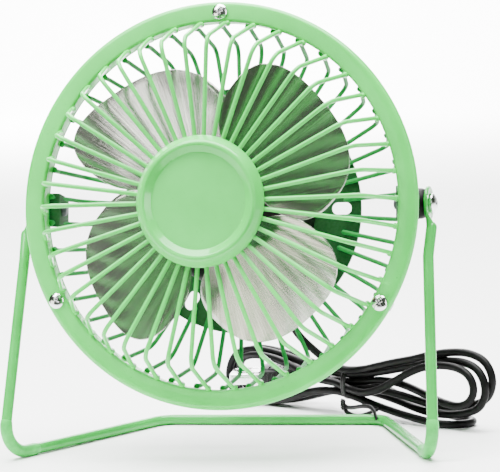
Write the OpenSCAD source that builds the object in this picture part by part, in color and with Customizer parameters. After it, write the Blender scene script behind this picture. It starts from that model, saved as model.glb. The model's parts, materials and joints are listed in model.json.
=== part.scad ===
// Small metal USB desk fan: wire guard on a bent rod stand, with a tilting head.
// The stand rests on Z = 0, the fan blows towards -Y, and X runs along the tilt axis.

/* [Stand] */
// Diameter of the stand's bent rod
rod_d = 3.9; // [3.4:0.1:4.4]
// Height of the tilt axis above the table
pivot_h = 86.85; // [84:0.05:92]
// Distance of each front foot's corner from the middle
foot_half_w = 78.5; // [77:0.5:84]
// How far the front feet stand in front of the tilt axis
foot_reach = 32.8; // [28:0.1:36]
// Half of the length of the straight back run
back_half_w = 43.2; // [35:0.2:55]
// How far the back run stands behind the tilt axis
back_reach = 47.3; // [42:0.1:52]
// Bend radius of the rod at the feet, on its centreline
foot_bend = 9; // [7:0.5:12]

/* [Guard] */
// Outer diameter of the guard ring
ring_d = 145; // [144:0.5:146]
// Number of wires in the front guard and in the back guard
wire_count = 42; // [42:1:42]
// Diameter of a guard wire
wire_d = 1.6; // [1.4:0.1:1.8]
// Upward tilt of the head in the rest pose, in degrees
head_tilt = 9; // [0:1:30]

/* [Fan blades] */
// Radius of the blade tips
tip_r = 53.5; // [50:0.5:55]
// Number of blades
blade_count = 4; // [3:1:4]
// Half width of a blade across its widest place
blade_half_w = 25.5; // [20:0.5:27]
// Slope of a blade near its root, as a rise over a run
root_slope = 0.34; // [0.3:0.02:0.4]
// Slope of a blade at its tip, as a rise over a run
tip_slope = 0.36; // [0.2:0.02:0.4]
// Sheet thickness of the blades
blade_t = 0.8; // [0.6:0.1:1]

/* [Motor] */
// Outer diameter of the flat motor's can
motor_d = 24.4; // [24:0.1:25]
// Diameter of the motor shaft
shaft_d = 2; // [2:0.1:2.2]

/* [Cord] */
// Diameter of the USB lead
cord_d = 3; // [2.6:0.1:3.2]

/* [Hidden] */

$fn = 48;
eps = 0.01;

// The tilt axis is set forward so that the object's box is centred on Y = 0.
pivot_y = -3.22;
// The pivots sit behind the ring, on the head's back half.
pivot_back = 9.9;

// Guard ring, in the head's own frame: r from the fan axis, z forward from the ring's middle
ring_r = ring_d / 2;
ring_t = 1.2;
ring_in_r = 65.2;
ring_face_z = 3.8;
ring_edge_r = 1.7;
// The ring's outer wall narrows from its edge to this radius at the back
ring_back_r = 71.3;
guard_screw_r = 68.6;
guard_screw_angles = [89, 209, 329];
m3_r = 1.5;

// Rear rim, flat against the back of the ring
rim_in_r = 65.2;
rim_out_r = 70.9;
rim_front_z = -2.2;
rim_t = 1.2;

// Front wires: r and z of the wire's centreline, from the cap out to the ring
front_phase = 1;
front_path = [[19, 24.1], [57.2, 27.0], [64.4, 5.6], [64.4, 3.3]];
front_bends = [5, 1.5];
// Rear wires, from the rear plate out to the rim
rear_phase = 4.3;
rear_path = [[39.5, -26.8], [59.6, -25.6], [64.4, -6.0], [64.4, -2.3]];
rear_bends = [5, 2];

// Cap
cap_t = 1;
cap_r = 23.1;
cap_edge_z = 25.1;
cap_crest_r = 20.3;
cap_crest_z = 29.4;
cap_disc_r = 17.4;
cap_disc_z = 27.4;
cap_plate_r = 21.5;
cap_plate_z = 22.2;

// Rear plate
plate_r = 44.8;
plate_z = -27.6;
plate_t = 1.2;
slot_count = 6;
slot_r = 37.6;
slot_l = 7.4;
slot_w = 4.4;

// Motor housing on the rear plate
housing_r = 28;
housing_z = -10;
housing_t = 1.6;
boss_r = 22;
boss_angles = [30, 150, 270];
motor_r = motor_d / 2;
motor_front_z = housing_z - housing_t;
motor_l = 12.8;
shaft_r = shaft_d / 2;
shaft_gap = 0.03;

// Switch and cord outlet on the rear plate
switch_x = -9.4;
switch_y = -16.8;
switch_w = 12;
switch_h = 8.6;
gland_x = 8;
gland_y = -19;

// Fan blades
hub_r = 4.2;
blade_z = 13;
blade_phase = 38;
blade_mid_r = 34;
blade_inner_r = 2 * blade_mid_r - tip_r;
blade_power = 2.5;
blade_camber = 3;
blade_skew = 0.2;

// Tilt pivots: a bent bracket, a thick washer, and the flattened end of the rod
bracket_in_x = 62.4;
bracket_out_x = 69.6;
bracket_t = 1.1;
bracket_half_h = 6.2;
// Inside this X the bracket is narrow, to pass between two rear wires
bracket_wide_x = 65.8;
bracket_narrow_h = 3.8;
bracket_front_z = 6.5;
bracket_back_z = 6.2;
washer_r = 5.4;
washer_rim_t = 1.8;
washer_out_r = 4.7;
washer_out_x = 72.7;
eye_in_x = 72.75;
eye_t = 1.3;
eye_r = 6.15;
m4_r = 2;
pivot_tip_x = 61;

// Cord: points of the free stretch from the gland to the hank
lead_points = [
    [8, 25.4, 63.1], [8, 30, 62.3], [7.5, 37.5, 60.8], [6.7, 45.5, 57.3], [5.6, 52.2, 53],
    [4.7, 57.3, 47.8], [4.1, 60.4, 42.5], [4.2, 61.8, 37.5], [5.7, 62.8, 33], [8.6, 63.6, 29.1],
    [11.8, 64.2, 25.8], [15.4, 64.2, 22.7], [19.3, 63.4, 20], [24, 62, 18.2]
];
// Hank: middle line on the table, from its left end to its right end
hank_a = [-31, 106];
hank_b = [86, 26];
hank_t = 10;

// ---------- helpers ----------

// Unit vector along v
function unit(v) = v / norm(v);

// Half turning angle at corner i of path p
function half_turn(p, i) = acos(unit(p[i] - p[i - 1]) * unit(p[i + 1] - p[i])) / 2;

// Length that the bend of radius r takes off each leg at corner i
function trim(p, i, r) = r * tan(half_turn(p, i));

// Path p with a round bend of radius bends[i - 1] at each corner i, as [point, direction] pairs
function rounded(p, bends, steps) =
    let (n = len(p))
    concat(
        [[p[0], unit(p[1] - p[0])]],
        [for (i = [1 : n - 2]) each bend_points(p, i, bends[i - 1], steps)],
        [[p[n - 1], unit(p[n - 1] - p[n - 2])]]
    );

function bend_points(p, i, r, steps) =
    let (u = unit(p[i] - p[i - 1]), v = unit(p[i + 1] - p[i]), h = half_turn(p, i),
         mid = p[i] + unit(v - u) * r / cos(h),
         x = unit(p[i] - u * trim(p, i, r) - mid))
    [for (k = [0 : steps]) let (a = 2 * h * k / steps)
        [mid + (x * cos(a) + u * sin(a)) * r, u * cos(a) - x * sin(a)]];

// Side vectors that stay square to the path without twisting round it
function carried(pairs, first) =
    [for (i = 0, a = first; i < len(pairs); i = i + 1,
          a = i < len(pairs) ? unit(a - pairs[i][1] * (a * pairs[i][1])) : a) a];

// A round tube of radius rad along [point, direction] pairs, as one closed sweep
module sweep(pairs, rad, sides) {
    n = len(pairs);
    t = pairs[0][1];
    ref = abs(t[2]) < 0.8 ? [0, 0, 1] : [1, 0, 0];
    side = carried(pairs, unit(cross(ref, t)));
    polyhedron(
        points = [for (i = [0 : n - 1], k = [0 : sides - 1])
            let (w = 360 * (k + 0.5) / sides, b = cross(pairs[i][1], side[i]))
            pairs[i][0] + (side[i] * cos(w) + b * sin(w)) * rad],
        faces = concat(
            [[for (k = [0 : sides - 1]) k]],
            [for (i = [0 : n - 2], k = [0 : sides - 1]) let (q = (k + 1) % sides)
                [(i + 1) * sides + q, i * sides + q, i * sides + k]],
            [for (i = [0 : n - 2], k = [0 : sides - 1]) let (q = (k + 1) % sides)
                [(i + 1) * sides + k, (i + 1) * sides + q, i * sides + k]],
            [[for (k = [sides - 1 : -1 : 0]) (n - 1) * sides + k]]
        )
    );
}

// The head's frame: fan axis along +Z towards the front, Y up, origin in the ring's middle
module head_frame() {
    translate([0, pivot_y, pivot_h]) rotate([90 - head_tilt, 0, 0])
        translate([0, 0, pivot_back]) children();
}

// Places children at radius r and at each of the angles
module around(r, angles) {
    for (a = angles) rotate([0, 0, a]) translate([r, 0, 0]) children();
}

// Both sides of the head, with local Z pointing outwards along the tilt axis, X backwards
module both_pivots() {
    for (side = [0, 1]) mirror([side, 0, 0])
        translate([0, 0, -pivot_back]) rotate([0, 90, 0]) children();
}

// A flat ring from r_in to r_out
module flat_ring(r_in, r_out, z, t) {
    translate([0, 0, z]) difference() {
        cylinder(r = r_out, h = t, $fn = 144);
        translate([0, 0, -1]) cylinder(r = r_in, h = t + 2, $fn = 144);
    }
}

// Domed pan head with a cross recess, sitting on Z = 0
module pan_head(r, h) {
    difference() {
        intersection() {
            cylinder(r = r, h = h);
            translate([0, 0, h - 1.6 * r]) sphere(r = 1.6 * r, $fn = 64);
        }
        for (a = [0, 90]) rotate([0, 0, a])
            translate([-0.55 * r, -0.13 * r, 0.45 * h]) cube([1.1 * r, 0.26 * r, h]);
    }
}

// Hex nut with a bore, on Z = 0, flats towards local Y
module hex_nut(across, h, bore_r) {
    difference() {
        cylinder(d = across / cos(30), h = h, $fn = 6);
        translate([0, 0, -1]) cylinder(r = bore_r, h = h + 2, $fn = 32);
    }
}

// ---------- stand ----------

sleeve_t = 0.3;
sleeve_r = rod_d / 2 + sleeve_t;
foot_z = sleeve_r;
// Top of the round rod, just below the flattened end, and the slight bend under it
rod_top_x = 75.2;
rod_top_reach = 5.3;
rod_top_drop = 7.9;
jog_x = 74.7;
jog_reach = 10.3;
jog_drop = 17.25;
neck_lean = 33.9;

// Rod corners from the eye on side s (+1 or -1) to the back corner
function side_path(s) = [
    [s * rod_top_x, pivot_y - rod_top_reach, pivot_h - rod_top_drop],
    [s * jog_x, pivot_y - jog_reach, pivot_h - jog_drop],
    [s * foot_half_w, pivot_y - foot_reach, foot_z],
    [s * back_half_w, pivot_y + back_reach, rod_d / 2]
];
side_bends = [12, foot_bend, foot_bend];
rod_sides = 16;
bend_steps = 7;

module stand_frame() {
    right = side_path(1);
    left = side_path(-1);
    corners = concat(right, [for (i = [len(left) - 1 : -1 : 0]) left[i]]);
    bends = concat(side_bends, [for (i = [len(side_bends) - 1 : -1 : 0]) side_bends[i]]);
    color("palegreen") {
        sweep(rounded(corners, bends, bend_steps), rod_d / 2, rod_sides);
        for (x = [eye_in_x, -eye_in_x - eye_t]) translate([x, pivot_y, pivot_h]) eye();
    }
}

// One flattened eye with its bore along X and a neck that runs down to the rod
module eye() {
    difference() {
        union() {
            rotate([0, 90, 0]) cylinder(r = eye_r, h = eye_t, $fn = 64);
            rotate([90, 0, 90]) linear_extrude(eye_t) rotate(-neck_lean)
                polygon([[-5, -3.4], [5, -3.4], [rod_d / 2, -9], [rod_d / 2, -12.4],
                         [-rod_d / 2, -12.4], [-rod_d / 2, -9]]);
        }
        translate([-1, 0, 0]) rotate([0, 90, 0]) cylinder(r = m4_r + 0.08, h = eye_t + 2);
    }
}

// Thin vinyl sleeves over the two front bends; how far they go past the bend each way
sleeve_up = 0.6;
sleeve_along = 5.6;

// The sleeve's stretch of rod on side s, made longer at both ends by extra
function sleeve_path(s, extra) =
    let (p = side_path(s), up = unit(p[1] - p[2]), along = unit(p[3] - p[2]),
         t = trim(p, 2, foot_bend))
    [p[2] + up * (t + sleeve_up + extra), p[2], p[2] + along * (t + sleeve_along + extra)];

module foot_sleeves() {
    color("honeydew") for (s = [-1, 1]) difference() {
        sweep(rounded(sleeve_path(s, 0), [foot_bend], bend_steps), sleeve_r, rod_sides);
        sweep(rounded(sleeve_path(s, 1), [foot_bend], bend_steps), rod_d / 2, rod_sides);
    }
}

// ---------- guard ----------

// Section of the ring's sheet: inner lip, face and rounded outer edge
function ring_section(grow) = concat(
    [[ring_in_r + grow, rim_front_z - (grow > 0 ? 1 : 0)],
     [ring_in_r + grow, ring_face_z - 0.5 - grow],
     [ring_in_r + 0.5 + (grow > 0 ? grow : 0), ring_face_z - grow]],
    [for (a = [90 : -15 : 0])
        [ring_r - ring_edge_r + (ring_edge_r - grow) * cos(a),
         ring_face_z - ring_edge_r + (ring_edge_r - grow) * sin(a)]]
);

module front_ring() {
    color("palegreen") head_frame() difference() {
        rotate_extrude($fn = 144) difference() {
            polygon(concat(ring_section(0), [[ring_back_r, rim_front_z]]));
            polygon(concat(ring_section(ring_t),
                           [[ring_back_r - ring_t - 0.24, rim_front_z - 0.86]]));
        }
        around(guard_screw_r, guard_screw_angles)
            translate([0, 0, -1]) cylinder(r = m3_r + 0.1, h = 8);
    }
}

// The wires of one guard half, along a path of [r, z] points
module guard_wires(path, bends, phase) {
    pairs = rounded([for (q = path) [q[0], 0, q[1]]], bends, 3);
    for (i = [0 : wire_count - 1]) rotate([0, 0, phase + i * 360 / wire_count])
        sweep(pairs, wire_d / 2, 8);
}

module front_wires() {
    color("palegreen") head_frame() guard_wires(front_path, front_bends, front_phase);
}

module rear_wires() {
    color("seagreen") head_frame() guard_wires(rear_path, rear_bends, rear_phase);
}

module front_cap() {
    color("palegreen") head_frame() rotate_extrude($fn = 144) polygon([
        [0, cap_disc_z], [cap_disc_r, cap_disc_z], [cap_crest_r - 0.9, cap_crest_z - 0.3],
        [cap_crest_r - 0.2, cap_crest_z], [cap_crest_r + 0.6, cap_crest_z - 0.3],
        [cap_r, cap_edge_z + 0.6], [cap_r, cap_edge_z], [cap_r - cap_t, cap_edge_z],
        [cap_crest_r, cap_crest_z - cap_t - 0.1], [cap_crest_r - 0.5, cap_crest_z - cap_t - 0.2],
        [cap_disc_r + 0.3, cap_disc_z - cap_t], [0, cap_disc_z - cap_t]
    ]);
}

module cap_plate() {
    color("seagreen") head_frame() {
        translate([0, 0, cap_plate_z]) cylinder(r = cap_plate_r, h = 1, $fn = 96);
        translate([0, 0, cap_plate_z + 1])
            cylinder(r = 6, h = cap_disc_z - cap_t - cap_plate_z - 1);
    }
}

module rear_rim() {
    color("seagreen") head_frame() difference() {
        flat_ring(rim_in_r, rim_out_r, rim_front_z - rim_t, rim_t);
        around(guard_screw_r, guard_screw_angles)
            translate([0, 0, rim_front_z - rim_t - 1]) cylinder(r = m3_r + 0.1, h = rim_t + 2);
    }
}

// A radial slot with round ends
module plate_slot() {
    translate([-(slot_l - slot_w) / 2, 0, 0]) cylinder(d = slot_w, h = 5);
    translate([(slot_l - slot_w) / 2, 0, 0]) cylinder(d = slot_w, h = 5);
    translate([-(slot_l - slot_w) / 2, -slot_w / 2, 0]) cube([slot_l - slot_w, slot_w, 5]);
}

module rear_plate() {
    color("seagreen") head_frame() difference() {
        translate([0, 0, plate_z - plate_t]) cylinder(r = plate_r, h = plate_t, $fn = 144);
        around(slot_r, [for (i = [0 : slot_count - 1]) i * 360 / slot_count])
            translate([0, 0, plate_z - 3]) plate_slot();
        around(boss_r, boss_angles)
            translate([0, 0, plate_z - 3]) cylinder(r = 1.3, h = 5);
        translate([switch_x - switch_w / 2, switch_y - switch_h / 2, plate_z - 3])
            cube([switch_w, switch_h, 5]);
        translate([gland_x, gland_y, plate_z - 3]) cylinder(r = 2.6, h = 5);
    }
}

module guard_screws() {
    color("silver") head_frame() around(guard_screw_r, guard_screw_angles) {
        translate([0, 0, ring_face_z]) pan_head(2.75, 1.7);
        translate([0, 0, -6.6]) cylinder(r = m3_r, h = ring_face_z + 6.6, $fn = 32);
    }
}

module guard_nuts() {
    color("silver") head_frame() around(guard_screw_r, guard_screw_angles)
        translate([0, 0, rim_front_z - rim_t - 2.4]) rotate([0, 0, 30]) hex_nut(5.2, 2.4, m3_r);
}

// ---------- tilt pivots ----------

// Section of the bent bracket across the head: outer flange, front web and inner flange
module bracket_section(in_x) {
    difference() {
        translate([-bracket_front_z, in_x])
            square([bracket_front_z + bracket_back_z, bracket_out_x - in_x]);
        inside_x = in_x == bracket_in_x ? in_x + bracket_t : in_x - 1;
        translate([-bracket_front_z + bracket_t, inside_x])
            square([30, bracket_out_x - bracket_t - inside_x]);
    }
}

// Full height outside the rear wires, and narrower where it passes between them
module pivot_brackets() {
    color("seagreen") head_frame() both_pivots() difference() {
        union() {
            rotate([90, 0, 0]) linear_extrude(2 * bracket_half_h, center = true)
                bracket_section(bracket_wide_x);
            rotate([90, 0, 0]) linear_extrude(2 * bracket_narrow_h, center = true)
                bracket_section(bracket_in_x);
        }
        translate([0, 0, bracket_in_x - 1]) cylinder(r = m4_r + 0.1, h = 12);
    }
}

module pivot_screws() {
    head_x = eye_in_x + eye_t + 0.05;
    color("silver") head_frame() both_pivots() {
        translate([0, 0, head_x]) pan_head(3.6, 2.4);
        translate([0, 0, pivot_tip_x]) cylinder(r = m4_r, h = head_x - pivot_tip_x);
    }
}

module pivot_nuts() {
    color("dimgray") head_frame() both_pivots()
        translate([0, 0, bracket_in_x + bracket_t]) rotate([0, 0, 30]) hex_nut(7, 2.2, m4_r);
}

module friction_washers() {
    color("black") head_frame() both_pivots() difference() {
        union() {
            translate([0, 0, bracket_out_x]) cylinder(r = washer_r, h = washer_rim_t, $fn = 64);
            translate([0, 0, bracket_out_x + washer_rim_t])
                cylinder(r1 = washer_r, r2 = washer_out_r,
                         h = washer_out_x - bracket_out_x - washer_rim_t, $fn = 64);
        }
        translate([0, 0, bracket_out_x - 1]) cylinder(r = m4_r, h = 6);
    }
}

// ---------- motor and housing ----------

housing_depth = housing_z - plate_z;

module motor_housing() {
    color("black") head_frame() difference() {
        union() {
            difference() {
                translate([0, 0, plate_z]) cylinder(r = housing_r, h = housing_depth, $fn = 96);
                translate([0, 0, plate_z - 1])
                    cylinder(r = housing_r - housing_t, h = housing_depth + 1 - housing_t,
                             $fn = 96);
            }
            around(boss_r, boss_angles)
                translate([0, 0, plate_z]) cylinder(r = 3, h = housing_depth - eps);
        }
        translate([0, 0, plate_z]) cylinder(r = 3.6, h = housing_depth + 1);
        for (s = [-1, 1]) translate([s * 8, 0, housing_z - 3]) cylinder(r = 1.1, h = 4);
        around(boss_r, boss_angles) translate([0, 0, plate_z - 1]) cylinder(r = 1.1, h = 9);
    }
}

module housing_screws() {
    color("silver") head_frame() around(boss_r, boss_angles) {
        translate([0, 0, plate_z - plate_t]) rotate([180, 0, 0]) pan_head(2.2, 1.5);
        translate([0, 0, plate_z - plate_t]) cylinder(r = 1.1, h = 8, $fn = 32);
    }
}

module motor_can() {
    color("silver") head_frame() {
        difference() {
            translate([0, 0, motor_front_z - motor_l]) cylinder(r = motor_r, h = motor_l, $fn = 96);
            translate([0, 0, motor_front_z - motor_l - 1])
                cylinder(r = motor_r - 0.8, h = motor_l + 0.2, $fn = 96);
            translate([0, 0, motor_front_z - 2]) cylinder(r = 3, h = 4);
            for (s = [-1, 1]) translate([s * 8, 0, motor_front_z - 2]) cylinder(r = 0.9, h = 4);
        }
    }
}

module front_bushing() {
    color("goldenrod") head_frame() difference() {
        translate([0, 0, motor_front_z - 1.4]) cylinder(r = 3, h = 3.2);
        translate([0, 0, motor_front_z - 3]) cylinder(r = shaft_r + shaft_gap, h = 8, $fn = 32);
    }
}

module motor_end_cap() {
    color("white") head_frame() difference() {
        translate([0, 0, motor_front_z - motor_l - 1.2]) cylinder(r = motor_r, h = 1.2, $fn = 96);
        translate([0, 0, motor_front_z - motor_l - 3]) cylinder(r = 2.6, h = 6);
    }
}

module rear_bushing() {
    color("goldenrod") head_frame() difference() {
        translate([0, 0, motor_front_z - motor_l - 1.2]) cylinder(r = 2.6, h = 2);
        translate([0, 0, motor_front_z - motor_l - 3])
            cylinder(r = shaft_r + shaft_gap, h = 6, $fn = 32);
    }
}

magnet_in_r = 9.6;
core_l = 6;
core_z = motor_front_z - 3.2 - core_l;

module motor_magnets() {
    color("dimgray") head_frame() for (a = [0, 180]) rotate([0, 0, a])
        translate([0, 0, core_z - 0.5]) rotate([0, 0, -62])
            rotate_extrude(angle = 124, $fn = 96)
                translate([magnet_in_r, 0]) square([motor_r - 0.8 - magnet_in_r, core_l + 1]);
}

module motor_brushes() {
    color("goldenrod") head_frame() for (s = [-1, 1])
        translate([s * 2.85 - 0.2, -5, motor_front_z - motor_l])
            cube([0.4, 8, 1.4]);
}

module motor_screws() {
    color("silver") head_frame() for (s = [-1, 1]) translate([s * 8, 0, 0]) {
        translate([0, 0, housing_z]) pan_head(1.9, 1.2);
        translate([0, 0, motor_front_z - 0.8]) cylinder(r = 0.9, h = 2.4, $fn = 32);
    }
}

// ---------- switch, inner leads and gland ----------

rocker_axis_z = plate_z - plate_t + 0.6;
rocker_pin_r = 0.6;

module switch_body() {
    color("black") head_frame() translate([switch_x, switch_y, 0]) {
        difference() {
            union() {
                translate([-switch_w / 2, -switch_h / 2, plate_z - plate_t])
                    cube([switch_w, switch_h, 8]);
                translate([-switch_w / 2 - 1, -switch_h / 2 - 1, plate_z - plate_t - 1.2])
                    cube([switch_w + 2, switch_h + 2, 1.2]);
            }
            translate([-5.1, -2.9, plate_z - plate_t - 2]) cube([10.2, 5.8, 5]);
            translate([0, 0, rocker_axis_z]) rotate([90, 0, 0])
                cylinder(r = rocker_pin_r + 0.05, h = 7.6, center = true, $fn = 32);
        }
        for (s = [-1, 1]) translate([s * 4 - 0.3, -1.2, plate_z - plate_t + 8])
            cube([0.6, 2.4, 3.5]);
    }
}

// The rocker turns about a line along local Y through its middle
module switch_rocker() {
    color("black") head_frame() translate([switch_x, switch_y, rocker_axis_z])
        rotate([0, 8, 0]) rotate([90, 0, 0]) {
            linear_extrude(5.4, center = true)
                polygon([[-4.3, 1], [-4.6, -2.6], [-2.4, -2.1], [0, -1.9], [2.4, -2.1],
                         [4.6, -2.6], [4.3, 1], [1, 2], [-1, 2]]);
            cylinder(r = rocker_pin_r, h = 7.2, center = true, $fn = 32);
        }
}

inner_lead_r = 0.6;
live_lead = [[gland_x, gland_y, plate_z + 1.2], [gland_x, gland_y, -24.2], [7.2, -14.8, -24.2],
             [6, -12.8, -26.6], [4, -8, -26.6]];
switch_lead = [[gland_x - 1.8, gland_y, plate_z + 1.2], [gland_x - 1.8, gland_y, -20],
               [4, switch_y, -14.5], [switch_x + 4, switch_y, -14.5],
               [switch_x + 4, switch_y, -17.3]];

module lead_wires() {
    color("red") head_frame() sweep(rounded(live_lead, [1.2, 1, 1], 4), inner_lead_r, 8);
    color("black") head_frame() sweep(rounded(switch_lead, [1.5, 1.5, 1.2], 4), inner_lead_r, 8);
}

gland_l = 13;
module cord_gland() {
    color("black") head_frame() translate([gland_x, gland_y, plate_z]) {
        cylinder(r = 3.4, h = 1.2, $fn = 32);
        translate([0, 0, -plate_t]) cylinder(r = 2.6, h = plate_t, $fn = 32);
        translate([0, 0, -plate_t - 2]) cylinder(r = 4, h = 2, $fn = 48);
        translate([0, 0, -plate_t - gland_l])
            cylinder(r1 = 2, r2 = 3, h = gland_l - 2, $fn = 48);
    }
}

// ---------- rotor ----------

// Half width of the blade outline at radius r
function outline(r) =
    let (x = abs(r - blade_mid_r) / (tip_r - blade_mid_r))
    blade_half_w * pow(max(0, 1 - pow(x, blade_power)), 1 / blade_power);

// Height of the blade's middle surface above the hub disc at radius r and offset y
function blade_rise(r, y) =
    let (u = (r - blade_inner_r) / (tip_r - blade_inner_r),
         slope = root_slope + (tip_slope - root_slope) * u)
    y * slope - blade_camber * (1 - pow(y / (blade_half_w + 4), 2)) * u;

blade_rows = 16;
blade_cols = 12;

// Radii of the blade's rows, closer together towards both ends
function row_r(i) = blade_mid_r - (tip_r - blade_mid_r) * cos(4 + 172 * i / blade_rows);

function blade_face(lift) = [for (i = [0 : blade_rows], j = [0 : blade_cols])
    let (r = row_r(i),
         y = outline(r) * (2 * j / blade_cols - 1) + blade_skew * (r - blade_mid_r))
    [r, y, blade_rise(r, y) + lift]];

// One blade as a thin closed sheet
module blade() {
    n = (blade_rows + 1) * (blade_cols + 1);
    w = blade_cols + 1;
    polyhedron(
        points = concat(blade_face(blade_t / 2), blade_face(-blade_t / 2)),
        faces = concat(
            [for (i = [0 : blade_rows - 1], j = [0 : blade_cols - 1]) let (k = i * w + j)
                [k, k + 1, k + w]],
            [for (i = [0 : blade_rows - 1], j = [0 : blade_cols - 1]) let (k = i * w + j)
                [k + 1, k + w + 1, k + w]],
            [for (i = [0 : blade_rows - 1], j = [0 : blade_cols - 1]) let (k = n + i * w + j)
                [k + w, k + 1, k]],
            [for (i = [0 : blade_rows - 1], j = [0 : blade_cols - 1]) let (k = n + i * w + j)
                [k + w, k + w + 1, k + 1]],
            [for (i = [0 : blade_rows - 1]) [i * w, i * w + w, n + i * w + w, n + i * w]],
            [for (i = [0 : blade_rows - 1]) let (k = i * w + blade_cols)
                [k + w, k, n + k, n + k + w]],
            [for (j = [0 : blade_cols - 1]) [j + 1, j, n + j, n + j + 1]],
            [for (j = [0 : blade_cols - 1]) let (k = blade_rows * w + j)
                [k, k + 1, n + k + 1, n + k]]
        )
    );
}

module fan_blades() {
    color("lightgray") head_frame() {
        difference() {
            translate([0, 0, blade_z - blade_t / 2]) cylinder(r = 17, h = blade_t, $fn = 72);
            translate([0, 0, blade_z - 2]) cylinder(r = shaft_r + 0.6, h = 4, $fn = 32);
            around(7.5, [0, 90, 180, 270])
                translate([0, 0, blade_z - 2]) cylinder(r = 1.2, h = 4);
        }
        for (i = [0 : blade_count - 1])
            rotate([0, 0, blade_phase + i * 360 / blade_count])
                translate([0, 0, blade_z]) blade();
    }
}

hub_back_z = -7;
module blade_hub() {
    color("goldenrod") head_frame() difference() {
        union() {
            translate([0, 0, hub_back_z])
                cylinder(r = hub_r, h = blade_z - blade_t / 2 - hub_back_z);
            translate([0, 0, blade_z - blade_t / 2 - 1.6]) cylinder(r = 10.5, h = 1.6);
        }
        translate([0, 0, hub_back_z - 1]) cylinder(r = shaft_r, h = 30, $fn = 32);
        around(7.5, [0, 90, 180, 270])
            translate([0, 0, 5]) cylinder(r = 1.2, h = 10);
    }
}

module hub_rivets() {
    color("silver") head_frame() around(7.5, [0, 90, 180, 270]) {
        translate([0, 0, blade_z - 2.2]) cylinder(r = 1.2, h = 2.8, $fn = 32);
        translate([0, 0, blade_z + blade_t / 2]) pan_dome(2.1, 0.9);
        translate([0, 0, blade_z - blade_t / 2 - 2.2]) cylinder(r = 2, h = 0.6, $fn = 32);
    }
}

// Plain dome on Z = 0
module pan_dome(r, h) {
    intersection() {
        cylinder(r = r, h = h, $fn = 32);
        translate([0, 0, h - 1.6 * r]) sphere(r = 1.6 * r, $fn = 48);
    }
}

module motor_shaft() {
    color("silver") head_frame()
        translate([0, 0, motor_front_z - motor_l - 0.9])
            cylinder(r = shaft_r, h = blade_z + 2.4 - (motor_front_z - motor_l - 0.9), $fn = 32);
}

module armature_core() {
    color("dimgray") head_frame() translate([0, 0, core_z]) difference() {
        union() {
            cylinder(r = 3.4, h = core_l);
            for (a = [0, 120, 240]) rotate([0, 0, a]) {
                translate([0, -1.4, 0]) cube([8, 2.8, core_l]);
                intersection() {
                    cylinder(r = 9, h = core_l, $fn = 72);
                    translate([7.6, -6.2, 0]) cube([3, 12.4, core_l]);
                }
            }
        }
        translate([0, 0, -1]) cylinder(r = shaft_r, h = core_l + 2, $fn = 32);
    }
}

module armature_coils() {
    color("chocolate") head_frame() translate([0, 0, core_z]) for (a = [0, 120, 240])
        rotate([0, 0, a]) difference() {
            translate([3.6, -3, -1]) cube([3.8, 6, core_l + 2]);
            translate([3, -1.4, 0]) cube([5, 2.8, core_l]);
        }
}

commutator_z = motor_front_z - motor_l + 0.9;
module commutator() {
    color("chocolate") head_frame() difference() {
        translate([0, 0, commutator_z]) cylinder(r = 2.5, h = core_z - 1 - commutator_z);
        translate([0, 0, motor_front_z - motor_l]) cylinder(r = shaft_r, h = 9, $fn = 32);
    }
}

// ---------- cord ----------

// Direction of the lead at point i
function lead_dir(i) = let (n = len(lead_points))
    unit(lead_points[min(i + 1, n - 1)] - lead_points[max(i - 1, 0)]);

module cord_lead() {
    color("black") sweep([for (i = [0 : len(lead_points) - 1]) [lead_points[i], lead_dir(i)]],
                         cord_d / 2, 8);
}

hank_l = norm(hank_b - hank_a);
hank_angle = atan2(hank_b[1] - hank_a[1], hank_b[0] - hank_a[0]);

// The hank's frame: X along the hank from its left end, Y up, Z across it
module hank_frame() {
    translate([hank_a[0], hank_a[1], 0]) rotate([0, 0, hank_angle]) rotate([90, 0, 0]) children();
}

// The folded cord stands on edge, narrow at the tie and round at both ends
left_loop_r = 10.8;
right_loop_r = 14.5;
tie_s = 69.5;
tie_z = 12;
waist_r = 5.6;
// One loop at the right end lies flat on the table
flat_loop_r = 7.9;
flat_loop_side = -4;
flat_loop_start = 90;
flat_loop_x = 120.5;

module cord_hank() {
    color("black") hank_frame() {
        linear_extrude(hank_t, center = true) {
            translate([left_loop_r, left_loop_r]) circle(r = left_loop_r);
            translate([hank_l - right_loop_r, right_loop_r]) circle(r = right_loop_r);
            polygon([[left_loop_r, 0], [40, 0], [tie_s, tie_z - waist_r], [88, 0],
                     [hank_l - right_loop_r, 0], [hank_l - right_loop_r, 2 * right_loop_r],
                     [104, 2 * right_loop_r], [tie_s, tie_z + waist_r], [40, 2 * left_loop_r],
                     [left_loop_r, 2 * left_loop_r]]);
        }
        translate([0, cord_d + 0.4, flat_loop_side]) rotate([90, 0, 0])
            linear_extrude(cord_d + 0.4) {
                translate([flat_loop_start, -flat_loop_r])
                    square([flat_loop_x - flat_loop_start, 2 * flat_loop_r]);
                translate([flat_loop_x, 0]) circle(r = flat_loop_r);
            }
    }
}

tie_tail_a = [[23.4, 62.6, 6.6], [25.8, 59, 4.6], [29, 54.8, 4.8], [33.5, 50, 5.8],
              [38.5, 44.5, 6.2], [41.5, 39.6, 2.6]];
tie_tail_b = [[23.4, 62.6, 6.6], [24.6, 60.4, 3], [29, 57.5, 1.4], [34, 54.5, 2.4],
              [39.5, 50.5, 4.6]];
tail_r = 0.7;

// Twisted tie: a band round the waist and two tails
module cord_tie() {
    color("black") {
        hank_frame() translate([tie_s, tie_z, 0]) rotate([0, 90, 0]) difference() {
            cylinder(r = 8.2, h = 2, center = true, $fn = 48);
            cube([hank_t, 2 * waist_r + 0.4, 6], center = true);
        }
        for (tail = [tie_tail_a, tie_tail_b])
            sweep(rounded(tail, [for (i = [1 : len(tail) - 2]) 2], 3), tail_r, 8);
    }
}

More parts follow.
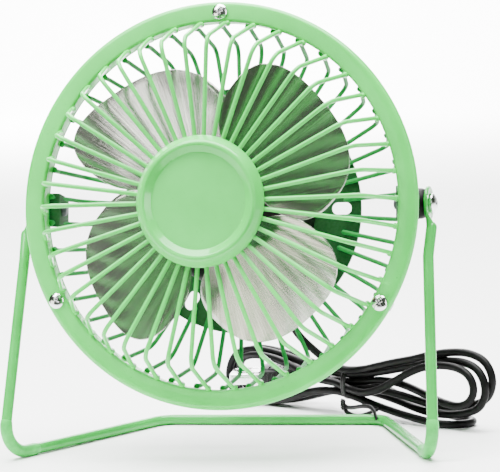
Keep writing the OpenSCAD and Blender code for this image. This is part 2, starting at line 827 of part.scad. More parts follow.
// Plug, inside the hank's left loops: local X along the plug, shell towards -X
plug_at = [-1, 93, 11.4];
plug_l = 15;
plug_w = 15;
plug_h = 8;
shell_w = 12;
shell_h = 4.5;
shell_l = 12.5;
shell_t = 0.4;
relief_l = 5;

module plug_frame() {
    translate(plug_at) rotate([0, 0, 4]) rotate([6, 0, 0]) children();
}

module plug_body() {
    color("black") plug_frame() {
        difference() {
            translate([-plug_l, -plug_w / 2, -plug_h / 2]) cube([plug_l, plug_w, plug_h]);
            translate([-plug_l - 1, -shell_w / 2, -shell_h / 2]) cube([9, shell_w, shell_h]);
        }
        rotate([0, 90, 0]) cylinder(r1 = 3, r2 = 2.2, h = relief_l);
    }
}

module plug_shell() {
    color("silver") plug_frame() difference() {
        translate([-plug_l - shell_l, -shell_w / 2, -shell_h / 2])
            cube([shell_l + 8, shell_w, shell_h]);
        translate([-plug_l - shell_l - 1, -shell_w / 2 + shell_t, -shell_h / 2 + shell_t])
            cube([shell_l + 10, shell_w - 2 * shell_t, shell_h - 2 * shell_t]);
        for (y = [-3, 3], z = [-1, 1])
            translate([-plug_l - 7, y - 1.2, z * shell_h / 2 - 1]) cube([2.4, 2.4, 2]);
    }
}

module plug_insert() {
    color("white") plug_frame()
        translate([-plug_l - shell_l + 0.6, -shell_w / 2 + shell_t, -shell_h / 2 + shell_t])
            cube([shell_l + 7, shell_w - 2 * shell_t, 1.8]);
}

module plug_contacts() {
    color("gold") plug_frame() for (y = [-3.5, -1, 1, 3.5])
        translate([-plug_l - shell_l + 1.4, y - 0.5, -shell_h / 2 + shell_t + 1.8])
            cube([9, 1, 0.2]);
}

stand_frame();
foot_sleeves();
front_ring();
front_wires();
front_cap();
cap_plate();
rear_rim();
rear_wires();
rear_plate();
guard_screws();
guard_nuts();
pivot_brackets();
pivot_screws();
pivot_nuts();
friction_washers();
motor_housing();
housing_screws();
motor_can();
motor_end_cap();
motor_magnets();
motor_brushes();
front_bushing();
rear_bushing();
motor_screws();
switch_body();
switch_rocker();
lead_wires();
cord_gland();
fan_blades();
blade_hub();
hub_rivets();
motor_shaft();
armature_core();
armature_coils();
commutator();
cord_lead();
cord_hank();
cord_tie();
plug_body();
plug_shell();
plug_insert();
plug_contacts();
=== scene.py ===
import json
import math
import random

import bmesh
import bpy
from mathutils import Matrix, Vector


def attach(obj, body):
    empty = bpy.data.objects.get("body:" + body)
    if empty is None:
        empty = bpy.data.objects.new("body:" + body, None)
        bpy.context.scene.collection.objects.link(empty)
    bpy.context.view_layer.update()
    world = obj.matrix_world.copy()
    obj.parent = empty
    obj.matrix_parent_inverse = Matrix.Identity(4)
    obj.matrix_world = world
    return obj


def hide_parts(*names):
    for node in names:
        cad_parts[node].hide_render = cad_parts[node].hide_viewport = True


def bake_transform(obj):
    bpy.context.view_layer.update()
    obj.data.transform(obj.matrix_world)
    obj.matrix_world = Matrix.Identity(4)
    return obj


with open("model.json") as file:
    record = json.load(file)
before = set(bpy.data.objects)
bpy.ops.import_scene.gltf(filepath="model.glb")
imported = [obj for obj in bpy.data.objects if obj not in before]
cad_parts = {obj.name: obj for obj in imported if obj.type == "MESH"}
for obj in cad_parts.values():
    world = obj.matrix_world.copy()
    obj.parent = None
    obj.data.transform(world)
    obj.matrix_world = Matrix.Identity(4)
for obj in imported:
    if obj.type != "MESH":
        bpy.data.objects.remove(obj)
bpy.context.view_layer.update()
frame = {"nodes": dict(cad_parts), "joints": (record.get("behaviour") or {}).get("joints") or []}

# ---------- driving sizes, in millimetres unless a name says otherwise ----------

MM = 0.001
joints = {j["name"]: j for j in frame["joints"]}
PIVOT = Vector(joints["head_tilt"]["pos_m"]) / MM
FORWARD = Vector(joints["fan_spin"]["axis"]).normalized()

# Stand: a bent rod with a flattened eye at each end
ROD_R = 1.95
FOOT_HALF_W = 78.5
FOOT_REACH = 32.8
BACK_HALF_W = 43.2
BACK_REACH = 47.3
FOOT_BEND = 9
SLEEVE_R = ROD_R + 0.3
SLEEVE_UP = 0.6
SLEEVE_ALONG = 5.6
FOOT_Z = SLEEVE_R
EYE_IN_X = 72.75
EYE_T = 1.3
EYE_R = 6.15
EYE_HOLE_R = 2.08
ROD_TOP_X = 75.2
ROD_TOP_REACH = 5.3
ROD_TOP_DROP = 7.9
JOG_X = 74.7
JOG_REACH = 10.3
JOG_DROP = 17.25
JOG_BEND = 12
PIVOT_BACK = 9.9

# Guard, in the head's frame: r from the fan axis, z forward from the ring's middle
RING_R = 72.5
RING_IN_R = 65.2
RING_T = 1.2
RING_FACE_Z = 3.8
RING_EDGE_R = 1.7
RING_BACK_Z = -2.2
RING_BACK_R = 71.3
RIM_OUT_R = 70.9
RIM_BACK_Z = -3.4
SCREW_R = 68.6
SCREW_ANGLES = (89, 209, 329)

WIRE_COUNT = 42
WIRE_R = 0.8
WELD_R = 64.7
FRONT_PHASE = 1
FRONT_PATH = ((19, 24.1), (57.2, 27.0), (64.4, 5.6), (64.4, 3.3))
REAR_PHASE = 4.3
REAR_PATH = ((39.5, -26.8), (59.6, -25.6), (64.4, -6.0), (64.4, -2.3))

CAP_R = 23.1
CAP_Z = 25.1
CAP_DISC_R = 16.5
CAP_DISC_Z = 27.4
CAP_T = 1

PIVOT_SCREW_END = 62.6
WASHER_IN_X = 69.6
WASHER_OUT_X = 72.7
BRACKET_HALF_H = 6.2
BRACKET_T = 1.1

PLATE_Z = -27.6
HOUSING_R = 28
HOUSING_Z = -10
HOUSING_T = 1.6
HOUSING_BORE_R = 3.6
GLAND_X = 8
GLAND_Y = -19
GLAND_END = -14.2

BLADE_COUNT = 4
TIP_R = 53.5
BLADE_HALF_W = 25.5
BLADE_Z = 13
BLADE_PHASE = 38
BLADE_MID_R = 34
BLADE_POWER = 2.5
BLADE_CAMBER = 3
BLADE_SKEW = 0.2
BLADE_T = 0.8
BLADE_ROOT_SLOPE = 0.34
BLADE_TIP_SLOPE_MORE = 0.02
BLADE_DISC_R = 17
SHAFT_HOLE_R = 1.6

CORD_D = 3
HANK_A = Vector((-31, 106, 0))
HANK_B = Vector((86, 26, 0))
TIE_S = 69.5
TIE_Z = 12.1
TIE_STRIP = (0.42, 0.85)

# The head's frame: fan axis along +Z towards the front, Y up, origin in the ring's middle
MIDDLE = PIVOT + FORWARD * PIVOT_BACK
_up = FORWARD.cross(Vector((1, 0, 0)))
HEAD = Matrix((
    (1, _up.x, FORWARD.x, MIDDLE.x),
    (0, _up.y, FORWARD.y, MIDDLE.y),
    (0, _up.z, FORWARD.z, MIDDLE.z),
    (0, 0, 0, 1),
))
WORLD = Matrix.Identity(4)
# The hank's frame: X along the hank, Y up, Z towards the fan
_along = (HANK_B - HANK_A).normalized()
HANK = Matrix((
    (_along.x, 0, _along.y, HANK_A.x),
    (_along.y, 0, -_along.x, HANK_A.y),
    (0, 1, 0, 0),
    (0, 0, 0, 1),
))


# ---------- camera ----------

def make_camera():
    azimuth = math.radians(15.6)
    elevation = math.radians(5.56)
    roll = math.radians(-2.58)
    distance = 1005.3
    aim_side = 10.08
    aim_z = 77.15
    back = Vector((math.sin(azimuth) * math.cos(elevation),
                   -math.cos(azimuth) * math.cos(elevation), math.sin(elevation)))
    right = Vector((math.cos(azimuth), math.sin(azimuth), 0))
    up = back.cross(right)
    target = Vector((0, MIDDLE.y, aim_z)) + right * aim_side
    right_rolled = right * math.cos(roll) + up * math.sin(roll)
    up_rolled = up * math.cos(roll) - right * math.sin(roll)
    place = (target + back * distance) * MM
    data = bpy.data.cameras.new("camera")
    data.sensor_width = 36
    data.lens = 203.7
    data.clip_start = 0.05
    data.clip_end = 60
    camera = bpy.data.objects.new("camera", data)
    camera.matrix_world = Matrix((
        (right_rolled.x, up_rolled.x, back.x, place.x),
        (right_rolled.y, up_rolled.y, back.y, place.y),
        (right_rolled.z, up_rolled.z, back.z, place.z),
        (0, 0, 0, 1),
    ))
    bpy.context.scene.collection.objects.link(camera)
    bpy.context.scene.camera = camera


# ---------- materials ----------

def new_material(name, colour, roughness, metallic=0.0, coat=0.0, coat_roughness=0.1,
                 subsurface=0.0):
    material = bpy.data.materials.new(name)
    material.use_nodes = True
    shader = material.node_tree.nodes["Principled BSDF"]
    for socket, value in (("Base Color", (*colour, 1)), ("Roughness", roughness),
                          ("Metallic", metallic), ("Coat Weight", coat),
                          ("Coat Roughness", coat_roughness),
                          ("Subsurface Weight", subsurface), ("Subsurface Scale", 0.002)):
        shader.inputs[socket].default_value = value
    return material, shader


def node(material, kind, **settings):
    made = material.node_tree.nodes.new(kind)
    for key, value in settings.items():
        if key in made.inputs:
            made.inputs[key].default_value = value
        else:
            setattr(made, key, value)
    return made


def link(material, source, socket):
    material.node_tree.links.new(source, socket)


def object_place(material):
    """Object coordinates in metres."""
    return node(material, "ShaderNodeTexCoord").outputs["Object"]


def noise(material, vector, scale, detail=3.0, rough=0.55):
    made = node(material, "ShaderNodeTexNoise", Scale=scale, Detail=detail, Roughness=rough)
    link(material, vector, made.inputs["Vector"])
    return made.outputs["Fac"]


def ramp(material, value, stops):
    made = node(material, "ShaderNodeValToRGB")
    elements = made.color_ramp.elements
    while len(elements) < len(stops):
        elements.new(0.5)
    for element, (position, colour) in zip(elements, stops):
        element.position = position
        element.color = (*colour, 1)
    link(material, value, made.inputs["Fac"])
    return made.outputs["Color"]


def scaled(material, value, low, high, start=0.0, end=1.0):
    """Maps start to low and end to high, and clamps."""
    made = node(material, "ShaderNodeMapRange")
    for socket, limit in (("From Min", start), ("From Max", end), ("To Min", low),
                          ("To Max", high)):
        made.inputs[socket].default_value = limit
    link(material, value, made.inputs["Value"])
    return made.outputs["Result"]


def bump(material, shader, height, strength, distance, below=None):
    made = node(material, "ShaderNodeBump", Strength=strength, Distance=distance)
    link(material, height, made.inputs["Height"])
    if below is not None:
        link(material, below, made.inputs["Normal"])
    link(material, made.outputs["Normal"], shader.inputs["Normal"])
    return made.outputs["Normal"]


def mixed(material, factor, first, second):
    made = node(material, "ShaderNodeMix", data_type="RGBA")
    link(material, factor, made.inputs["Factor"])
    for socket, value in ((made.inputs[6], first), (made.inputs[7], second)):
        if isinstance(value, tuple):
            socket.default_value = (*value, 1)
        else:
            link(material, value, socket)
    return made.outputs[2]


def edge_wear(material, low, high):
    """1 where an edge is sharp and rubbed, 0 elsewhere."""
    geometry = node(material, "ShaderNodeNewGeometry")
    vector = object_place(material)
    speckle = noise(material, vector, 900, 4)
    added = node(material, "ShaderNodeMath", operation="MULTIPLY_ADD")
    link(material, speckle, added.inputs[0])
    added.inputs[1].default_value = 0.10
    link(material, geometry.outputs["Pointiness"], added.inputs[2])
    return scaled(material, added.outputs[0], 0, 1, low, high)


def paint(name, light, dark, rough_low=0.24, rough_high=0.4, coat=0.35, specular=0.25):
    """Glossy enamel over steel: soft mottling, orange peel, specks and rubbed edges."""
    material, shader = new_material(name, light, 0.25, coat=coat, coat_roughness=0.06)
    shader.inputs["Specular IOR Level"].default_value = specular
    vector = object_place(material)
    mottle = noise(material, vector, 55, 4)
    tone = ramp(material, mottle, ((0.30, dark), (0.68, light)))
    specks = noise(material, vector, 1500, 2)
    speck_mask = ramp(material, specks, ((0.72, (0, 0, 0)), (0.78, (1, 1, 1))))
    chips = tuple(c * 0.45 for c in dark)
    speckled = mixed(material, speck_mask, tone, chips)
    worn = mixed(material, edge_wear(material, 0.60, 0.70), speckled,
                 tuple(min(1, c * 1.25 + 0.02) for c in light))
    link(material, worn, shader.inputs["Base Color"])
    smear = noise(material, vector, 140, 5)
    link(material, scaled(material, smear, rough_low, rough_high), shader.inputs["Roughness"])
    peel = noise(material, vector, 1300, 2)
    dents = noise(material, vector, 90, 2)
    first = bump(material, shader, peel, 0.12, 0.0002)
    bump(material, shader, dents, 0.10, 0.0008, below=first)
    return material


def metal(name, colour, rough_low, rough_high):
    """Bare or plated metal with fine grain and smudges."""
    material, shader = new_material(name, colour, rough_low, metallic=1.0)
    vector = object_place(material)
    scratches = noise(material, vector, 900, 6, 0.7)
    smudge = noise(material, vector, 110, 4)
    tarnish = tuple(c * 0.72 for c in colour)
    link(material, ramp(material, smudge, ((0.32, tarnish), (0.62, colour))),
         shader.inputs["Base Color"])
    both = node(material, "ShaderNodeMath", operation="MULTIPLY")
    link(material, scratches, both.inputs[0])
    link(material, smudge, both.inputs[1])
    link(material, scaled(material, both.outputs[0], rough_low, rough_high, 0.1, 0.45),
         shader.inputs["Roughness"])
    bump(material, shader, scratches, 0.08, 0.0001)
    return material


def moulded(name, colour, rough_low, rough_high, grain_scale=1800, depth=0.15,
            subsurface=0.0, specular=0.5):
    """Moulded plastic or rubber with a fine grain, dust and scuffs."""
    material, shader = new_material(name, colour, rough_low, subsurface=subsurface)
    shader.inputs["Specular IOR Level"].default_value = specular
    vector = object_place(material)
    dust = noise(material, vector, 240, 5)
    dusty = tuple(min(1, c * 1.5 + 0.003) for c in colour)
    worn = mixed(material, edge_wear(material, 0.58, 0.72),
                 ramp(material, dust, ((0.42, colour), (0.80, dusty))),
                 tuple(min(1, c * 2 + 0.006) for c in colour))
    link(material, worn, shader.inputs["Base Color"])
    link(material, scaled(material, dust, rough_low, rough_high), shader.inputs["Roughness"])
    grain = noise(material, vector, grain_scale, 3)
    bump(material, shader, grain, depth, 0.00015)
    return material


def blade_metal():
    """Polished aluminium sheet with fine radial brushing, in polar grain round the fan axis."""
    material, shader = new_material("blade_metal", (0.50, 0.50, 0.47), 0.2, metallic=0.88)
    place = node(material, "ShaderNodeTexCoord")
    split = node(material, "ShaderNodeSeparateXYZ")
    link(material, place.outputs["Object"], split.inputs["Vector"])
    angle = node(material, "ShaderNodeMath", operation="ARCTAN2")
    height = node(material, "ShaderNodeMath", operation="SUBTRACT")
    link(material, split.outputs["Z"], height.inputs[0])
    height.inputs[1].default_value = MIDDLE.z * MM
    link(material, height.outputs[0], angle.inputs[0])
    link(material, split.outputs["X"], angle.inputs[1])
    polar = node(material, "ShaderNodeCombineXYZ")
    link(material, angle.outputs[0], polar.inputs["X"])
    streaks = noise(material, polar.outputs[0], 42, 8, 0.72)
    smudge = noise(material, object_place(material), 60, 4)
    tone = ramp(material, streaks, ((0.30, (0.25, 0.25, 0.22)), (0.66, (0.50, 0.50, 0.45))))
    link(material, mixed(material, scaled(material, smudge, 0.0, 0.35), tone,
                         (0.33, 0.33, 0.30)), shader.inputs["Base Color"])
    link(material, scaled(material, smudge, 0.08, 0.20), shader.inputs["Roughness"])
    first = bump(material, shader, streaks, 0.10, 0.0004)
    bump(material, shader, noise(material, object_place(material), 30, 2), 0.25, 0.002,
         below=first)
    return material


def floor_paper():
    """White background paper with a faint fibre."""
    material, shader = new_material("floor_paper", (0.93, 0.93, 0.93), 0.6)
    vector = object_place(material)
    fibre = noise(material, vector, 400, 4)
    link(material, ramp(material, fibre, ((0.2, (0.91, 0.91, 0.91)), (0.8, (0.95, 0.95, 0.95)))),
         shader.inputs["Base Color"])
    return material


MATS = {
    "mint": paint("mint_enamel", (0.048, 0.62, 0.084), (0.036, 0.53, 0.066)),
    # Painted shade: the bent rod carries a darker copy of the mint paint, standing in for shade.
    "rod": paint("rod_painted_shade_enamel", (0.026, 0.40, 0.056), (0.018, 0.32, 0.042), 0.16, 0.28, 0.3, 0.15),
    # Painted shade: a darker copy of the mint paint for the rear wires, rear band and cap plate,
    # standing in for the shade they sit in.
    "painted_shade_green": paint("shaded_enamel", (0.016, 0.27, 0.05), (0.012, 0.21, 0.04), 0.4, 0.6, 0.0, 0.08),
    # Painted shade: a much darker copy of the mint paint for the rear plate and tilt brackets,
    # standing in for deep shade.
    "painted_deep_shade": paint("painted_deep_shade_enamel", (0.006, 0.07, 0.014), (0.004, 0.05, 0.010), 0.4, 0.6, 0.0, 0.05),
    # The sleeves' green vinyl is their own colour, made darker to match the rod's painted shade.
    "sleeve": moulded("sleeve_vinyl_with_painted_shade", (0.026, 0.36, 0.056), 0.3, 0.45, specular=0.2),
    "chrome": metal("chrome_plate", (0.80, 0.80, 0.80), 0.08, 0.30),
    "steel": metal("zinc_steel", (0.55, 0.56, 0.57), 0.28, 0.5),
    "dark_steel": metal("dark_steel", (0.10, 0.10, 0.11), 0.35, 0.6),
    "bronze": metal("sintered_bronze", (0.55, 0.36, 0.14), 0.3, 0.5),
    "copper": metal("enamelled_copper", (0.60, 0.22, 0.08), 0.2, 0.4),
    "rubber": moulded("black_rubber", (0.003, 0.003, 0.003), 0.4, 0.6, specular=0.12),
    "plastic": moulded("black_plastic", (0.003, 0.003, 0.003), 0.32, 0.5, specular=0.2),
    "white": moulded("white_nylon", (0.80, 0.80, 0.76), 0.35, 0.5, subsurface=0.1),
    "red_wire": moulded("red_wire", (0.45, 0.02, 0.02), 0.3, 0.45),
    "cord": moulded("cord_pvc", (0.001, 0.001, 0.001), 0.35, 0.5, grain_scale=900, depth=0.08,
                    specular=0.1),
    "blade": blade_metal(),
}


# ---------- mesh helpers; points are in millimetres in a named frame ----------

def piece(name, part, material, body, place=WORLD, sharp=32, replaces=()):
    """A finished object from (points, faces) in millimetres, moved by place into the world."""
    points, faces = part
    mesh = bpy.data.meshes.new(name)
    mesh.from_pydata([(place @ Vector(p)) * MM for p in points], [], faces)
    mesh.validate()
    cleaner = bmesh.new()
    cleaner.from_mesh(mesh)
    bmesh.ops.recalc_face_normals(cleaner, faces=cleaner.faces)
    cleaner.to_mesh(mesh)
    cleaner.free()
    made = bpy.data.objects.new(name, mesh)
    bpy.context.scene.collection.objects.link(made)
    return finished(made, material, body, sharp, replaces)


def finished(made, material, body, sharp=32, replaces=()):
    """Gives an object its material, shading, body and replaced CAD nodes."""
    made.data.materials.clear()
    made.data.materials.append(MATS[material])
    for polygon in made.data.polygons:
        polygon.use_smooth = True
    made.data.set_sharp_from_angle(angle=math.radians(sharp))
    if body:
        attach(made, body)
    if replaces:
        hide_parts(*replaces)
    return made


def joined(parts):
    """One list of points and one of faces from several."""
    points = []
    faces = []
    for part_points, part_faces in parts:
        start = len(points)
        points += part_points
        faces += [tuple(start + i for i in face) for face in part_faces]
    return points, faces


def moved(part, matrix):
    return [matrix @ Vector(p) for p in part[0]], part[1]


def lathe(profile, segments=192, closed=True):
    """Turns [r, z] points round Z. A point with r = 0 closes to a pole."""
    points = []
    rows = []
    for r, z in profile:
        if r < 1e-6:
            rows.append([len(points)] * segments)
            points.append(Vector((0, 0, z)))
            continue
        rows.append(list(range(len(points), len(points) + segments)))
        for k in range(segments):
            a = 2 * math.pi * k / segments
            points.append(Vector((r * math.cos(a), r * math.sin(a), z)))
    faces = []
    count = len(rows) if closed else len(rows) - 1
    for i in range(count):
        low = rows[i]
        high = rows[(i + 1) % len(rows)]
        for k in range(segments):
            q = (k + 1) % segments
            corners = (low[k], low[q], high[q], high[k])
            unique = tuple(dict.fromkeys(corners))
            if len(unique) > 2:
                faces.append(unique)
    return points, faces


def softened(profile, radius, steps=3, closed=True):
    """The [r, z] profile with each corner rounded by up to the given radius."""
    out = []
    count = len(profile)
    for i, corner in enumerate(profile):
        if not closed and i in (0, count - 1):
            out.append(tuple(corner))
            continue
        here = Vector(corner)
        before = Vector(profile[i - 1])
        after = Vector(profile[(i + 1) % count])
        reach = min(radius, (before - here).length * 0.45, (after - here).length * 0.45)
        start = here + (before - here).normalized() * reach
        end = here + (after - here).normalized() * reach
        for k in range(steps + 1):
            t = k / steps
            out.append(tuple(start * (1 - t) ** 2 + here * 2 * t * (1 - t) + end * t * t))
    return out


def rounded(path, bends, steps=8):
    """Path corners as arcs: the points along the path."""
    path = [Vector(p) for p in path]
    out = [path[0]]
    for i in range(1, len(path) - 1):
        u = (path[i] - path[i - 1]).normalized()
        v = (path[i + 1] - path[i]).normalized()
        half = u.angle(v) / 2
        if half < 1e-4:
            continue
        radius = bends[i - 1]
        mid = path[i] + (v - u).normalized() * radius / math.cos(half)
        x = (path[i] - u * radius * math.tan(half) - mid).normalized()
        for k in range(steps + 1):
            a = 2 * half * k / steps
            out.append(mid + (x * math.cos(a) + u * math.sin(a)) * radius)
    out.append(path[-1])
    return out


def tube(path, radius, sides=16, ends="round", first=None):
    """A tube along points. radius is a number, a list, or a list of (side, other) pairs."""
    count = len(path)
    radii = radius if isinstance(radius, (list, tuple)) else [radius] * count
    radii = [r if isinstance(r, tuple) else (r, r) for r in radii]
    tangents = [(path[min(i + 1, count - 1)] - path[max(i - 1, 0)]).normalized()
                for i in range(count)]
    reference = Vector(first) if first else Vector((0, 0, 1))
    if abs(reference.dot(tangents[0])) > 0.95:
        reference = Vector((1, 0, 0))
    rings = []
    side = (reference - tangents[0] * reference.dot(tangents[0])).normalized()
    for i in range(count):
        side = (side - tangents[i] * side.dot(tangents[i])).normalized()
        rings.append((path[i], tangents[i], side, radii[i]))
    if ends == "round":
        rings = capped(rings[0], -1)[::-1] + rings + capped(rings[-1], 1)
    points = []
    for centre, tangent, side, (a, b) in rings:
        other = tangent.cross(side)
        for k in range(sides):
            w = 2 * math.pi * k / sides
            points.append(centre + side * a * math.cos(w) + other * b * math.sin(w))
    faces = []
    for i in range(len(rings) - 1):
        for k in range(sides):
            q = (k + 1) % sides
            faces.append((i * sides + k, i * sides + q, (i + 1) * sides + q, (i + 1) * sides + k))
    last = (len(rings) - 1) * sides
    faces.append(tuple(range(sides - 1, -1, -1)))
    faces.append(tuple(last + k for k in range(sides)))
    return points, faces


def capped(ring, way):
    """Shrinking rings that round off a tube's end."""
    centre, tangent, side, (a, b) = ring
    depth = min(a, b)
    return [(centre + tangent * way * depth * math.sin(t), tangent, side,
             (a * math.cos(t), b * math.cos(t)))
            for t in (math.radians(25), math.radians(50), math.radians(72))]


def slab(low, high, bevel=0.3, segments=2):
    """A box from low to high with rounded edges."""
    builder = bmesh.new()
    bmesh.ops.create_cube(builder, size=1)
    size = Vector(high) - Vector(low)
    mid = (Vector(high) + Vector(low)) / 2
    for vertex in builder.verts:
        vertex.co = Vector(c * s for c, s in zip(vertex.co, size)) + mid
    bmesh.ops.bevel(builder, geom=builder.edges[:], offset=bevel, segments=segments,
                    affect="EDGES", profile=0.5)
    points = [v.co.copy() for v in builder.verts]
    faces = [tuple(v.index for v in f.verts) for f in builder.faces]
    builder.free()
    return points, faces


def turned(angle, axis="Z"):
    """A turn about an axis, in degrees."""
    return Matrix.Rotation(math.radians(angle), 4, axis)


def cut(target, part, place=WORLD):
    """Takes a closed part away from a finished object."""
    points, faces = part
    mesh = bpy.data.meshes.new("cutter")
    mesh.from_pydata([(place @ Vector(p)) * MM for p in points], [], faces)
    builder = bmesh.new()
    builder.from_mesh(mesh)
    bmesh.ops.recalc_face_normals(builder, faces=builder.faces)
    builder.to_mesh(mesh)
    builder.free()
    cutter = bpy.data.objects.new("cutter", mesh)
    bpy.context.scene.collection.objects.link(cutter)
    modifier = target.modifiers.new("cut", "BOOLEAN")
    modifier.operation = "DIFFERENCE"
    modifier.solver = "EXACT"
    modifier.object = cutter
    graph = bpy.context.evaluated_depsgraph_get()
    result = bpy.data.meshes.new_from_object(target.evaluated_get(graph))
    target.modifiers.remove(modifier)
    result.name = target.data.name
    target.data = result
    bpy.data.objects.remove(cutter)
    for polygon in result.polygons:
        polygon.use_smooth = True
    result.set_sharp_from_angle(angle=math.radians(30))


# ---------- cord ----------

def hank_point(x, y, z):
    return HANK @ Vector((x, y, z))


def smooth_line(points, step=1.2, passes=3):
    """A centripetal spline through the points, evenly spaced and gently smoothed."""
    points = [Vector(p) for p in points]
    fine = []
    for i in range(len(points) - 1):
        p0 = points[i - 1] if i else points[0] * 2 - points[1]
        p1 = points[i]
        p2 = points[i + 1]
        p3 = points[i + 2] if i + 2 < len(points) else points[-1] * 2 - points[-2]
        t1 = (p1 - p0).length ** 0.5
        t2 = t1 + (p2 - p1).length ** 0.5
        t3 = t2 + (p3 - p2).length ** 0.5
        for k in range(16):
            t = t1 + (t2 - t1) * k / 16
            a1 = p0 * ((t1 - t) / t1) + p1 * (t / t1)
            a2 = p1 * ((t2 - t) / (t2 - t1)) + p2 * ((t - t1) / (t2 - t1))
            a3 = p2 * ((t3 - t) / (t3 - t2)) + p3 * ((t - t2) / (t3 - t2))
            b1 = a1 * ((t2 - t) / t2) + a2 * (t / t2)
            b2 = a2 * ((t3 - t) / (t3 - t1)) + a3 * ((t - t1) / (t3 - t1))
            fine.append(b1 * ((t2 - t) / (t2 - t1)) + b2 * ((t - t1) / (t2 - t1)))
    fine.append(points[-1])
    line = spaced(fine, step)
    for _ in range(passes):
        line = ([line[0]]
                + [(line[i - 1] + line[i] * 2 + line[i + 1]) / 4 for i in range(1, len(line) - 1)]
                + [line[-1]])
    return line


def spaced(line, step):
    """Points every step along a line."""
    total = sum((b - a).length for a, b in zip(line, line[1:]))
    count = max(2, round(total / step))
    out = [line[0]]
    walked = 0.0
    target = total / count
    for a, b in zip(line, line[1:]):
        size = (b - a).length
        while walked + size >= target - 1e-9 and len(out) < count:
            out.append(a.lerp(b, (target - walked) / size if size else 0))
            target += total / count
        walked += size
    out.append(line[-1])
    return out


# The free lead in the world frame, from the gland to the hank
LEAD = ((8, 25.4, 63.1), (8, 30, 62.3), (7.5, 37.5, 60.8), (6.7, 45.5, 57.3), (5.6, 52.2, 53),
        (4.7, 57.3, 47.8), (4.1, 60.4, 42.5), (4.2, 61.8, 37.5), (5.7, 62.8, 33), (8.6, 63.6, 29.1),
        (11.8, 64.2, 25.8), (15.4, 64.2, 22.7), (19.3, 63.4, 20), (24, 62, 18.2))

# Turns of the hank in its own frame: along, up, towards the fan
HANK_TURNS = (
    # outer right loop
    (77.5, 18.4, 2.3), (86, 20.3, 2.5), (96, 22.6, 2.6), (106, 24.6, 2.6), (114, 26.6, 1.8),
    (122, 28, -0.5), (131, 28, -2.5), (138.4, 25.2, -3.2), (141.6, 18.9, -3.3),
    (138.9, 12.4, -3.2), (131.5, 9, -3), (120, 7.3, -2.2), (110, 8, -0.5), (99, 10, 1),
    (88, 11.2, 1.8), (78, 11, 1.4), (70, 10, 0.6), (63, 9, 0),
    # first left loop
    (52, 7.2, 1), (40, 4.2, 1.6), (26, 1.9, 1.5), (12, 1.6, 1.4), (3, 4.2, 1), (-0.3, 11, 0),
    (3, 18.2, -1), (12, 21, -1.8), (22, 21, -2), (34, 19.6, -2.2), (46, 17.4, -2.6),
    (56, 15.8, -3), (63, 15.4, -3.2),
    # loop that lies flat on the table
    (72, 13.4, -4), (84, 9.6, -6), (98, 5.2, -8.6), (110, 2.4, -10.4), (120.5, 1.6, -10.8),
    (125.3, 1.6, -8.8), (127.3, 1.6, -4), (125.3, 1.6, 0.8), (120.5, 1.6, 2.8), (110, 2.3, 3.2),
    (97, 3.9, 3.6), (84, 6, 3.8), (73, 8, 3.5), (63, 9, 3.2),
    # second left loop
    (52, 8.2, 4.2), (40, 4.8, 4.7), (26, 1.9, 4.7), (12, 1.6, 4.6), (3, 4.2, 4.2),
    (-0.3, 11, 3.4), (3, 18.2, 2.4), (12, 21, 1.5), (22, 21, 1.2), (34, 19.6, 1.1),
    (46, 17.4, 0.7), (56, 15.8, 0.2), (63, 15.4, 0),
    # middle right loop
    (72, 15.8, -0.4), (84, 17.6, -0.6), (95, 19.8, -0.5), (105, 22, -0.4), (114, 24.4, -1),
    (122, 24.9, -0.2), (130.4, 25, 0), (137.8, 22.6, 0), (141, 16.3, -0.1), (138.1, 9.5, -0.1),
    (130.6, 6.3, 0), (118, 4.7, 0.3), (106, 5.2, -0.4), (92, 7.2, -2), (78, 8.8, -3), (63, 9, -3.2),
    # third left loop
    (52, 7, -2.4), (40, 4, -1.8), (27, 1.8, -1.7), (15, 1.7, -1.4), (7, 4.4, -0.6),
    (4.2, 10.4, 1), (7, 16.4, 3), (14.5, 19.2, 4.3), (24, 19.6, 4.7), (34, 18.4, 4.8),
    (45, 15.4, 4.6), (55, 12.9, 3.8), (63, 12.2, 3.2),
    # inner right loop
    (72, 10.6, 4), (80, 10, 4.8), (89, 11.9, 5.3), (98, 15.9, 5.2), (106, 19.8, 4.6),
    (114, 22.6, 3.8), (122, 23.6, 3.2), (130.4, 23.2, 3.1), (136, 20.9, 3.1), (138.3, 16.2, 3.1),
    (136, 11.6, 3.1), (130.6, 9.3, 3.1), (124, 9.5, 3), (115, 10.9, 2.2), (104, 13, 0.8),
    (94, 14.5, 0), (84, 14.4, -0.4), (73, 13, -0.4), (63, 12.2, -0.6),
    # away to the plug
    (56, 12, -3), (50, 11.8, -7.4), (45.5, 11.5, -10.6), (41.5, 11.3, -11.4), (38.5, 11.3, -10.6),
    (36.2, 11.4, -9.2),
)


def make_cord(plug_pieces):
    """The whole cord as one strand, from the head through the hank to the plug."""
    line = smooth_line(list(LEAD) + [hank_point(*p) for p in HANK_TURNS])
    for p in line:
        p.z = max(p.z, CORD_D / 2)  # nowhere below the table
    strand = tube(line, CORD_D / 2, sides=14, first=(1, 0, 0))
    made = piece("cord", strand, "cord", None, sharp=60, replaces=("cord_lead", "cord_hank"))
    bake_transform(made)


# The plug's frame: its body along -X from the cord, its flat sides across Z
PLUG = (Matrix.Translation((-1, 93, 11.4)) @ Matrix.Rotation(math.radians(4), 4, "Z")
        @ Matrix.Rotation(math.radians(6), 4, "X"))
PLUG_L = 15
PLUG_HALF_W = 7.5
PLUG_HALF_H = 4
PLUG_RIBS = 5
RIB_PITCH = 1.9
SHELL_W = 12
SHELL_H = 4.5
SHELL_L = 12.5
SHELL_T = 0.4


